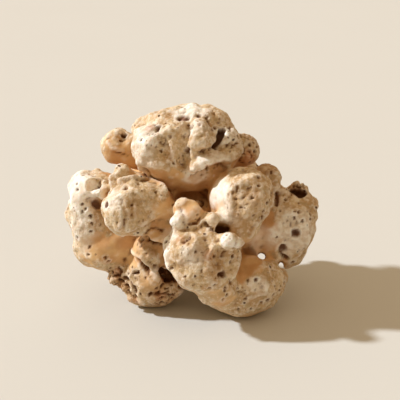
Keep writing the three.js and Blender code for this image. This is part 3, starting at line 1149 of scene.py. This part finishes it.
def linear(colour: Colour) -> tuple[float, float, float, float]:
    """A screen colour as the light values that shaders use.

    Args:
        colour: Red, green and blue from 0 to 255.

    Returns:
        Red, green, blue and an alpha of 1.
    """
    shares = [value / 255.0 for value in colour]
    levels = [s / 12.92 if s <= 0.04045 else ((s + 0.055) / 1.055) ** 2.4 for s in shares]
    return (*levels, 1.0)


class Value:
    """A number in a shader. Arithmetic on it adds Math nodes."""

    def __init__(self, graph: "Graph", socket: bpy.types.NodeSocket) -> None:
        """Wraps an output socket.

        Args:
            graph: The graph that the socket belongs to.
            socket: The output socket.
        """
        self.graph = graph
        self.socket = socket

    def _math(self, operation: str, first: Any, second: Any) -> "Value":
        """The result of one Math node."""
        made = self.graph.node("ShaderNodeMath", {"operation": operation}, {0: first, 1: second})
        return Value(self.graph, made.outputs[0])

    def __add__(self, other: Any) -> "Value":
        """Self plus other."""
        return self._math("ADD", self, other)

    def __radd__(self, other: Any) -> "Value":
        """Other plus self."""
        return self._math("ADD", other, self)

    def __sub__(self, other: Any) -> "Value":
        """Self minus other."""
        return self._math("SUBTRACT", self, other)

    def __rsub__(self, other: Any) -> "Value":
        """Other minus self."""
        return self._math("SUBTRACT", other, self)

    def __mul__(self, other: Any) -> "Value":
        """Self times other."""
        return self._math("MULTIPLY", self, other)

    def __rmul__(self, other: Any) -> "Value":
        """Other times self."""
        return self._math("MULTIPLY", other, self)

    def between(self, low: float, high: float) -> "Value":
        """Rises smoothly from 0 at low to 1 at high, or falls where low is the larger."""
        lower, upper = min(low, high), max(low, high)
        settings = {"interpolation_type": "SMOOTHSTEP"}
        inputs = {"Value": self, "From Min": lower, "From Max": upper}
        rising = Value(self.graph, self.graph.node("ShaderNodeMapRange", settings, inputs).outputs["Result"])
        return rising if low < high else 1.0 - rising


class Graph:
    """A material's nodes, with one way to add each kind."""

    def __init__(self, name: str) -> None:
        """Starts an empty material.

        Args:
            name: The material's name.
        """
        self.material = bpy.data.materials.new(name)
        self.material.use_nodes = True
        self.tree = self.material.node_tree
        self.tree.nodes.clear()
        self.place = self.node("ShaderNodeTexCoord").outputs["Object"]

    def node(
        self,
        kind: str,
        settings: dict[str, Any] | None = None,
        inputs: dict[str | int, Any] | None = None,
    ) -> bpy.types.Node:
        """Adds a node.

        Args:
            kind: The node's type.
            settings: Its own settings, which are set first.
            inputs: Values or links for its sockets, by name or number.

        Returns:
            The new node.
        """
        made = self.tree.nodes.new(kind)
        for name, value in (settings or {}).items():
            setattr(made, name, value)
        for name, value in (inputs or {}).items():
            source = value.socket if isinstance(value, Value) else value
            if isinstance(source, bpy.types.NodeSocket):
                self.tree.links.new(source, made.inputs[name])
            else:
                made.inputs[name].default_value = source
        return made

    def trait(self, trait: Trait) -> Value:
        """What the skin's working left at each point."""
        return Value(self, self.node("ShaderNodeAttribute", {"attribute_name": trait.value}).outputs["Fac"])

    def noise(self, size: float, detail: float = 3.0, shift: float = 0.0) -> Value:
        """Soft noise from 0 to 1.

        Args:
            size: The size of its blots, in metres.
            detail: How many finer layers it has.
            shift: Moves it, so that two of one size differ.

        Returns:
            The noise.
        """
        moved = self.node("ShaderNodeVectorMath", {"operation": "ADD"}, {0: self.place, 1: (shift,) * 3})
        inputs = {"Vector": moved.outputs[0], "Scale": 1.0 / size, "Detail": detail, "Roughness": 0.55}
        return Value(self, self.node("ShaderNodeTexNoise", {}, inputs).outputs["Fac"])

    def mix(self, share: Any, first: Any, second: Any) -> bpy.types.NodeSocket:
        """A colour between two.

        Args:
            share: 0 for the first, 1 for the second.
            first: A colour or a link to one.
            second: A colour or a link to one.

        Returns:
            The mixed colour's socket.
        """
        inputs = {0: share, 6: first, 7: second}
        return self.node("ShaderNodeMix", {"data_type": "RGBA"}, inputs).outputs[2]

    def pinholes(self, spacing: float, width: float, share: float, shift: float) -> tuple[Value, Value]:
        """Small round holes at uneven places.

        Args:
            spacing: The usual distance between them, in metres.
            width: A hole's radius as a share of the spacing.
            share: The share of the possible holes that are there.
            shift: Moves the pattern.

        Returns:
            The holes, and the halo round each, both from 0 to 1.
        """
        wander_inputs = {"Vector": self.place, "Scale": 0.9 / spacing, "Detail": 2.0}
        wander = self.node("ShaderNodeTexNoise", {}, wander_inputs)
        bend = self.node(
            "ShaderNodeVectorMath",
            {"operation": "MULTIPLY_ADD"},
            {0: wander.outputs["Color"], 1: (spacing * 0.7,) * 3, 2: self.place},
        )
        moved = self.node("ShaderNodeVectorMath", {"operation": "ADD"}, {0: bend.outputs[0], 1: (shift,) * 3})
        cells = self.node("ShaderNodeTexVoronoi", {}, {"Vector": moved.outputs[0], "Scale": 1.0 / spacing})
        distance = Value(self, cells.outputs["Distance"])
        parts = self.node("ShaderNodeSeparateColor", {}, {"Color": cells.outputs["Color"]})
        there = Value(self, parts.outputs["Red"]).between(0.98 - share, 1.02 - share)
        size = 0.45 + 0.8 * Value(self, parts.outputs["Green"])
        holes = (distance - width * size).between(width * 0.35, -width * 0.35) * there
        halos = (distance - 2.0 * width * size).between(width * 0.8, -width * 0.4) * there
        return holes, halos


@dataclass(frozen=True)
class FleshFinish:
    """The mushroom's skin: mottled, pitted and matte outside, smooth and waxy on necks and undersides. Shade
    is painted into its pits, hollows and crevices, and a highlight onto its rims.
    """

    bleached_and_highlight: Colour = (249, 243, 231)
    chalk: Colour = (246, 236, 218)
    cream: Colour = (216, 190, 150)
    tan: Colour = (192, 157, 113)
    olive: Colour = (176, 154, 116)
    ochre: Colour = (196, 152, 102)
    smooth_cream: Colour = (224, 186, 134)
    smooth_tan: Colour = (206, 160, 110)
    crevice_painted_shade: Colour = (150, 98, 54)
    hollow_painted_shade: Colour = (98, 52, 18)
    freckle_brown: Colour = (124, 80, 38)
    pinhole_brown_and_shade: Colour = (86, 44, 14)
    rust: Colour = (196, 130, 84)
    soil_tan: Colour = (190, 150, 104)
    soil_brown: Colour = (140, 92, 52)
    soil_rust: Colour = (150, 82, 46)
    soil_dark: Colour = (66, 32, 10)
    broad_size: float = 0.007
    cluster_size: float = 0.006
    warm_size: float = 0.005
    blot_size: float = 0.0026
    grain_size: float = 0.0009
    hole_spacing: float = 0.0036
    speck_spacing: float = 0.0017
    relief_depth: float = 0.0004
    flesh_depth: float = 0.0018
    flesh_colours: Place = (1.0, 0.55, 0.3)

    def material(self) -> bpy.types.Material:
        """The finish as a material.

        Returns:
            The material, which reads the skin's traits and object coordinates.
        """
        graph = Graph("mushroom_flesh")
        rough = graph.trait(Trait.ROUGH)
        hollow = graph.trait(Trait.HOLLOW)
        edge = graph.trait(Trait.EDGE)
        soil = graph.trait(Trait.SOIL)
        pores = graph.trait(Trait.PORES)
        pale = graph.trait(Trait.PALE)
        rust = graph.trait(Trait.RUST)
        shade = graph.trait(Trait.SHADE)
        broad = graph.noise(self.broad_size, 3.0)
        warm = graph.noise(self.warm_size, 3.0, 4.0)
        blots = graph.noise(self.blot_size, 3.0, 1.0)
        grain = graph.noise(self.grain_size, 4.0, 2.0)
        holes, halos = graph.pinholes(self.hole_spacing, 0.14, 0.34, 0.0)
        specks, _ = graph.pinholes(self.speck_spacing, 0.22, 0.5, 5.0)
        outer = graph.mix(broad.between(0.38, 0.62), linear(self.tan), linear(self.cream))
        outer = graph.mix(warm.between(0.52, 0.68) * 0.5, outer, linear(self.ochre))
        outer = graph.mix(blots.between(0.5, 0.66) * 0.5, outer, linear(self.olive))
        outer = graph.mix((1.0 - blots).between(0.5, 0.68) * 0.5, outer, linear(self.chalk))
        outer = graph.mix(grain.between(0.54, 0.66) * 0.4, outer, linear(self.olive))
        outer = graph.mix(grain.between(0.44, 0.34) * 0.4, outer, linear(self.chalk))
        smooth = graph.mix(broad.between(0.35, 0.65), linear(self.smooth_cream), linear(self.smooth_tan))
        smooth = graph.mix(warm.between(0.5, 0.7) * 0.35, smooth, linear(self.ochre))
        skin = graph.mix(rough.between(0.1, 0.7), smooth, outer)
        # Painted highlight: bulging rims and the lips round the pinholes are painted near white; the pale
        # patches are the skin's own bleached colour.
        pale_and_highlight = edge * 0.4 + pale * (0.6 + blots.between(0.6, 0.4) * 0.3) + halos * rough * 0.12
        pale_and_highlight = pale_and_highlight * (1.0 - soil * 0.7)
        skin = graph.mix(pale_and_highlight, skin, linear(self.bleached_and_highlight))
        skin = graph.mix(soil * (0.45 + broad.between(0.6, 0.4) * 0.4), skin, linear(self.soil_tan))
        dirt = graph.mix(blots.between(0.55, 0.7), linear(self.soil_brown), linear(self.soil_rust))
        skin = graph.mix(soil * (hollow * 0.8 + blots.between(0.45, 0.62) * 0.3), skin, dirt)
        skin = graph.mix(rust * (0.3 + grain.between(0.35, 0.65) * 0.4), skin, linear(self.rust))
        # Painted shade: the least open parts of the skin, the crevices between lobes, are painted a darker
        # brown.
        skin = graph.mix(shade.between(0.75, 1.0) * 0.5, skin, linear(self.crevice_painted_shade))
        # Painted shade in pits, creases and hollows: the hollow mask darkens them to brown, and to a darker
        # brown where the skin is soiled, which is partly the base's real soil.
        shade_and_soil_depths = graph.mix(soil, linear(self.hollow_painted_shade), linear(self.soil_dark))
        skin = graph.mix(hollow * 0.9, skin, shade_and_soil_depths)
        # The larger pinholes are painted dark brown: partly the pores' own brown, partly painted shade inside
        # them.
        shaded_pinholes = holes * (rough * 0.6 + pores + 0.45).between(0.0, 1.0) * (1.0 - pale * 0.7)
        clusters = graph.noise(self.cluster_size, 2.0, 3.0).between(0.44, 0.58)
        fine_dots = specks * (rough.between(0.35, 0.9) * clusters * 0.8 + pores * 0.8)
        skin = graph.mix(shaded_pinholes * 0.92, skin, linear(self.pinhole_brown_and_shade))
        skin = graph.mix(fine_dots * 0.8, skin, linear(self.freckle_brown))
        relief = grain * (rough * 0.9 + 0.12) + blots * rough * 1.2 - shaded_pinholes * 1.2 - fine_dots * 0.8
        bump_inputs = {"Height": relief, "Distance": self.relief_depth, "Strength": 1.0}
        bump = graph.node("ShaderNodeBump", {}, bump_inputs)
        matte = rough * 0.22 + 0.56 + hollow * 0.1
        shader = graph.node(
            "ShaderNodeBsdfPrincipled",
            {},
            {
                "Base Color": skin,
                "Roughness": matte,
                "Specular IOR Level": 0.12,
                "Subsurface Weight": 0.08,
                "Subsurface Radius": self.flesh_colours,
                "Subsurface Scale": self.flesh_depth,
                "Normal": bump.outputs["Normal"],
            },
        )
        graph.node("ShaderNodeOutputMaterial", {}, {"Surface": shader.outputs["BSDF"]})
        return graph.material


@dataclass(frozen=True)
class Lamp:
    """A distant light: its strength, its width in degrees, the way it shines and its colour."""

    name: str
    energy: float
    width: float
    direction: Place
    colour: Colour

    def hang(self) -> None:
        """Adds the light to the scene."""
        light = bpy.data.lights.new(self.name, "SUN")
        light.energy = self.energy
        light.angle = math.radians(self.width)
        light.color = linear(self.colour)[:3]
        lamp = bpy.data.objects.new(self.name, light)
        lamp.rotation_euler = Vector(self.direction).to_track_quat("-Z", "Y").to_euler()
        bpy.context.scene.collection.objects.link(lamp)


@dataclass
class Studio:
    """A plain pale floor, low light from the left, soft light from above, and the camera in front."""

    floor_colour: Colour = (210, 210, 204)
    key: Lamp = Lamp("key", 4.0, 3.5, (1.0, -0.06, -0.76), (242, 246, 252))
    top: Lamp = Lamp("top", 0.7, 130.0, (0.1, -0.3, -1.0), (255, 226, 190))
    world_colour: Colour = (255, 221, 178)
    world_strength: float = 0.39
    floor_reach: float = 60.0
    floor_blot_size: float = 0.2
    floor_dulling: float = 0.97
    camera_height: float = 20.0
    camera_distance: float = 3.75
    camera_aim: Place = (0.032, 0.0, 0.421)
    lens: float = 85.0

    def build(self) -> None:
        """Makes the floor, the light and the camera, sized by the mushroom's width."""
        low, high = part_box(NODE)
        self.width = high.x - low.x
        self.lay_floor()
        self.light()
        self.set_camera()

    def lay_floor(self) -> None:
        """A wide floor with a faint unevenness in its colour."""
        mesh = bpy.data.meshes.new("floor")
        shape = bmesh.new()
        bmesh.ops.create_grid(shape, x_segments=1, y_segments=1, size=self.width * self.floor_reach)
        shape.to_mesh(mesh)
        shape.free()
        floor = bpy.data.objects.new("floor", mesh)
        bpy.context.scene.collection.objects.link(floor)
        graph = Graph("floor")
        shade = linear(self.floor_colour)
        duller = tuple(level * self.floor_dulling for level in shade[:3]) + (1.0,)
        colour = graph.mix(graph.noise(self.floor_blot_size, 2.0), shade, duller)
        shader = graph.node("ShaderNodeBsdfPrincipled", {}, {"Base Color": colour, "Roughness": 0.8})
        graph.node("ShaderNodeOutputMaterial", {}, {"Surface": shader.outputs["BSDF"]})
        mesh.materials.append(graph.material)

    def light(self) -> None:
        """The two lights and a warm surround."""
        self.key.hang()
        self.top.hang()
        world = bpy.data.worlds.new("surround")
        world.use_nodes = True
        background = world.node_tree.nodes["Background"]
        background.inputs["Color"].default_value = linear(self.world_colour)
        background.inputs["Strength"].default_value = self.world_strength
        bpy.context.scene.world = world
        bpy.context.scene.view_settings.view_transform = "Standard"

    def set_camera(self) -> None:
        """The camera, level with the front and looking a little down."""
        tilt = math.radians(self.camera_height)
        back = Vector((0.0, -math.cos(tilt), math.sin(tilt)))
        camera = bpy.data.cameras.new("camera")
        camera.lens = self.lens
        camera.clip_start = 0.01
        holder = bpy.data.objects.new("camera", camera)
        holder.location = (Vector(self.camera_aim) + back * self.camera_distance) * self.width
        holder.rotation_euler = back.to_track_quat("Z", "Y").to_euler()
        bpy.context.scene.collection.objects.link(holder)
        bpy.context.scene.camera = holder


def main() -> None:
    """Builds the mushroom and the studio."""
    logging.basicConfig(level=logging.INFO, format="%(name)s: %(message)s")
    Studio().build()
    log.info("studio: floor, light and camera")
    skin = Mushroom().build()
    skin.data.materials.append(FleshFinish().material())
    log.info("%s: %d points, %d faces", skin.name, len(skin.data.vertices), len(skin.data.polygons))


if __name__ == "__main__":
    main()
